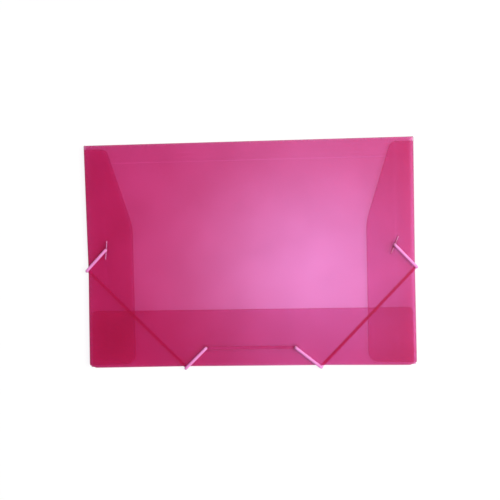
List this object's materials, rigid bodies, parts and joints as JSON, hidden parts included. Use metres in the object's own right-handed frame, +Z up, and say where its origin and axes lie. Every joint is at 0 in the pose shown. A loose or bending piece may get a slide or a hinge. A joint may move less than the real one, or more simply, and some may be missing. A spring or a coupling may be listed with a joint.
{
  "type": "elastic folder",
  "caption": "Flat translucent plastic document folder with folding inner flaps, a scored spine and an elastic cord that loops round its lower corners.",
  "frame": {"origin": "middle of the footprint, elastic cord included, on the table that the closed folder lies on", "axes": "+X along the spine and towards the front cover's right, +Y from the open fore edge towards the spine, +Z up out of the front cover"},
  "size_m": [0.3416, 0.2333, 0.0115],
  "materials": {
    "plastic": "translucent pink polypropylene sheet, lightly frosted",
    "elastic": "round braided pink elastic cord",
    "metal": "plated steel"
  },
  "bodies": {
    "back": {"back_cover": "plastic"},
    "spine": {"spine_wall": "plastic"},
    "front": {"spine_strip_1": "plastic", "spine_strip_2": "plastic", "spine_strip_3": "plastic", "spine_strip_4": "plastic", "front_cover": "plastic", "left_side_leg": "elastic", "left_fore_leg": "elastic", "right_side_leg": "elastic", "right_fore_leg": "elastic", "cord_inner_run": "elastic", "left_barb": "metal", "right_barb": "metal"},
    "left_wall": {"left_wall": "plastic"},
    "left_flap": {"left_fold_strip": "plastic", "left_flap": "plastic"},
    "right_wall": {"right_wall": "plastic"},
    "right_flap": {"right_fold_strip": "plastic", "right_flap": "plastic"},
    "fore_flap": {"fore_fold": "plastic", "fore_fold_strip": "plastic", "fore_flap": "plastic"},
    "left_loop": {"left_side_wrap": "elastic", "left_fore_wrap": "elastic", "left_back_span": "elastic"},
    "right_loop": {"right_side_wrap": "elastic", "right_fore_wrap": "elastic", "right_back_span": "elastic"}
  },
  "joints": [
    {"name": "cover_opening", "type": "hinge", "parent": "spine", "child": "front", "pos_m": [0, 0.11635, 0.0082], "axis": [-1, 0, 0], "range_deg": [0, 90]},
    {"name": "spine_fold", "type": "hinge", "parent": "back", "child": "spine", "pos_m": [0, 0.11635, 0.0035], "axis": [-1, 0, 0], "range_deg": [0, 90]},
    {"name": "left_wall_fold", "type": "hinge", "parent": "back", "child": "left_wall", "pos_m": [-0.1672, 0, 0.0035], "axis": [0, -1, 0], "range_deg": [0, 90]},
    {"name": "left_flap_fold", "type": "hinge", "parent": "left_wall", "child": "left_flap", "pos_m": [-0.1672, 0, 0.0073], "axis": [0, -1, 0], "range_deg": [0, 90], "deforming": ["left_fold_strip", "left_flap"]},
    {"name": "right_wall_fold", "type": "hinge", "parent": "back", "child": "right_wall", "pos_m": [0.1672, 0, 0.0035], "axis": [0, 1, 0], "range_deg": [0, 90]},
    {"name": "right_flap_fold", "type": "hinge", "parent": "right_wall", "child": "right_flap", "pos_m": [0.1672, 0, 0.0073], "axis": [0, 1, 0], "range_deg": [0, 90], "deforming": ["right_fold_strip", "right_flap"]},
    {"name": "fore_flap_fold", "type": "hinge", "parent": "back", "child": "fore_flap", "pos_m": [0, -0.1127, 0.00395], "axis": [1, 0, 0], "range_deg": [0, 180], "deforming": ["fore_fold_strip", "fore_flap"]},
    {"name": "left_loop_release", "type": "slide", "parent": "front", "child": "left_loop", "axis": [0.6851, 0.6764, 0.2702], "range_m": [0, 0.0315], "deforming": ["left_side_wrap", "left_fore_wrap", "left_back_span"]},
    {"name": "right_loop_release", "type": "slide", "parent": "front", "child": "right_loop", "axis": [-0.708, 0.6591, 0.2536], "range_m": [0, 0.03357], "deforming": ["right_side_wrap", "right_fore_wrap", "right_back_span"]}
  ],
  "couplings": [
    {"joint": "spine_fold", "follows": "cover_opening", "ratio": 1},
    {"joint": "left_wall_fold", "follows": "cover_opening", "ratio": 1},
    {"joint": "left_flap_fold", "follows": "cover_opening", "ratio": 1},
    {"joint": "right_wall_fold", "follows": "cover_opening", "ratio": 1},
    {"joint": "right_flap_fold", "follows": "cover_opening", "ratio": 1},
    {"joint": "fore_flap_fold", "follows": "cover_opening", "ratio": 2},
    {"joint": "left_loop_release", "follows": "cover_opening", "m_per_rad": 0.020024},
    {"joint": "right_loop_release", "follows": "cover_opening", "m_per_rad": 0.021341}
  ]
}
